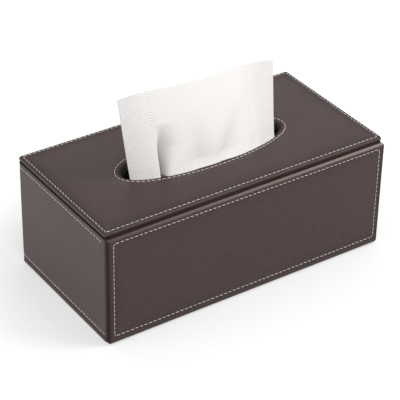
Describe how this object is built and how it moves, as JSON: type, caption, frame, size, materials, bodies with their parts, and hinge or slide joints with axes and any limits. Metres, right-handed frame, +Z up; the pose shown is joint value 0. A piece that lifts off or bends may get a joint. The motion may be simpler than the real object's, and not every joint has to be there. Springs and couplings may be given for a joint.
{
  "type": "tissue box with drawer",
  "caption": "Rectangular leatherette tissue box with an oval slot in its stitched lid and a full-width drawer behind its stitched front that holds the folded tissues.",
  "frame": {"origin": "under the middle of the closed box, on the surface it stands on", "axes": "+X along the box to the right, +Y from the drawer front to the back, +Z up"},
  "size_m": [0.26, 0.134, 0.1745],
  "materials": {
    "leatherette": "dark brown pebbled leatherette, satin, off-white stitching",
    "fibreboard": "plain fibreboard",
    "tray_board": "fibreboard covered with black paper",
    "felt": "black felt lining",
    "foam": "thin sheet foam",
    "card": "grey card",
    "tissue": "soft two-ply tissue"
  },
  "bodies": {
    "casing": {"base_binding": "leatherette", "side_wrap": "leatherette", "lid_cover": "leatherette", "top_edge_binding": "leatherette", "base_board": "fibreboard", "left_end_board": "fibreboard", "right_end_board": "fibreboard", "back_board": "fibreboard", "top_board": "fibreboard", "lid_board": "fibreboard", "base_felt": "felt", "floor_lining": "felt", "left_lining": "felt", "right_lining": "felt", "back_lining": "felt", "top_lining": "felt", "lid_padding": "foam", "lid_backing": "card"},
    "drawer": {"drawer_floor": "tray_board", "drawer_left_side": "tray_board", "drawer_right_side": "tray_board", "drawer_back": "tray_board", "drawer_inner_front": "tray_board", "drawer_floor_lining": "felt", "front_board": "fibreboard", "front_padding": "foam", "front_cover": "leatherette", "front_lining": "felt", "tissue_stack": "tissue"},
    "tissue": {"tissue_sheet": "tissue"}
  },
  "joints": [
    {"name": "drawer_slide", "type": "slide", "parent": "casing", "child": "drawer", "axis": [0, -1, 0], "range_m": [0, 0.105]},
    {"name": "tissue_pull", "type": "slide", "parent": "casing", "child": "tissue", "axis": [0, 0, 1], "range_m": [0, 0.055]}
  ]
}
